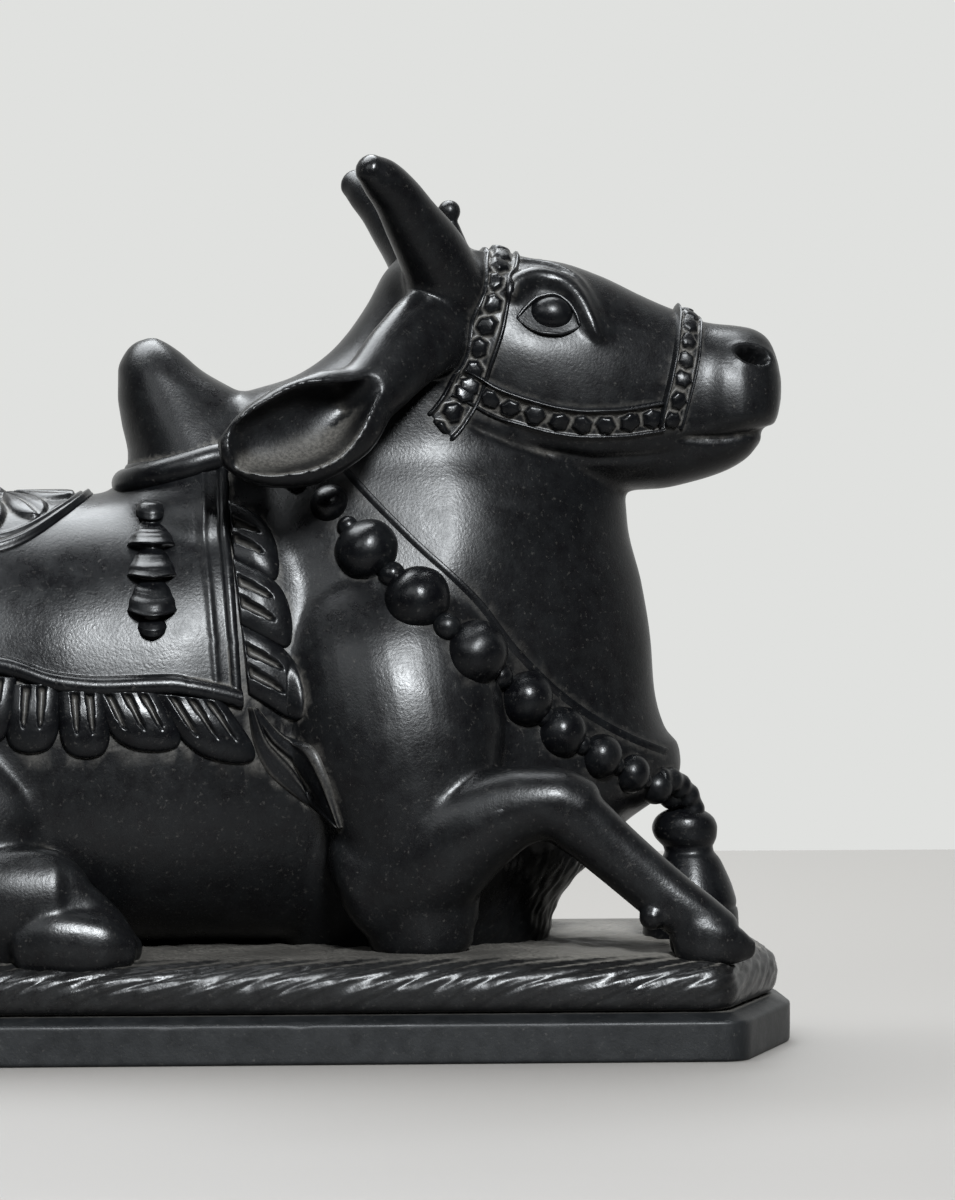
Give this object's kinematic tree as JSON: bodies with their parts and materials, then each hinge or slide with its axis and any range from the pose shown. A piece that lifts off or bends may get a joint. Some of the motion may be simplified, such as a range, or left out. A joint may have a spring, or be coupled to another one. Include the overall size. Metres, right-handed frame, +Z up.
{
  "type": "nandi bull figure",
  "caption": "Reclining bull carved from black stone with garland, bell, halter and saddle cloth, on a fluted plinth over a plain slab.",
  "frame": {"origin": "bottom centre of the base slab, on the surface that it stands on", "axes": "+Z up, +X towards the bull's head, -Y the side shown in the picture"},
  "size_m": [0.365, 0.148, 0.2517],
  "materials": {
    "bull_stone": "polished black stone with a satin hand-rubbed sheen and pale dust in the carving",
    "slab_stone": "honed black stone, sawn flat, a little greyer than the figure"
  },
  "bodies": {
    "root": {"nandi_bull": "bull_stone", "base_slab": "slab_stone"}
  },
  "joints": []
}
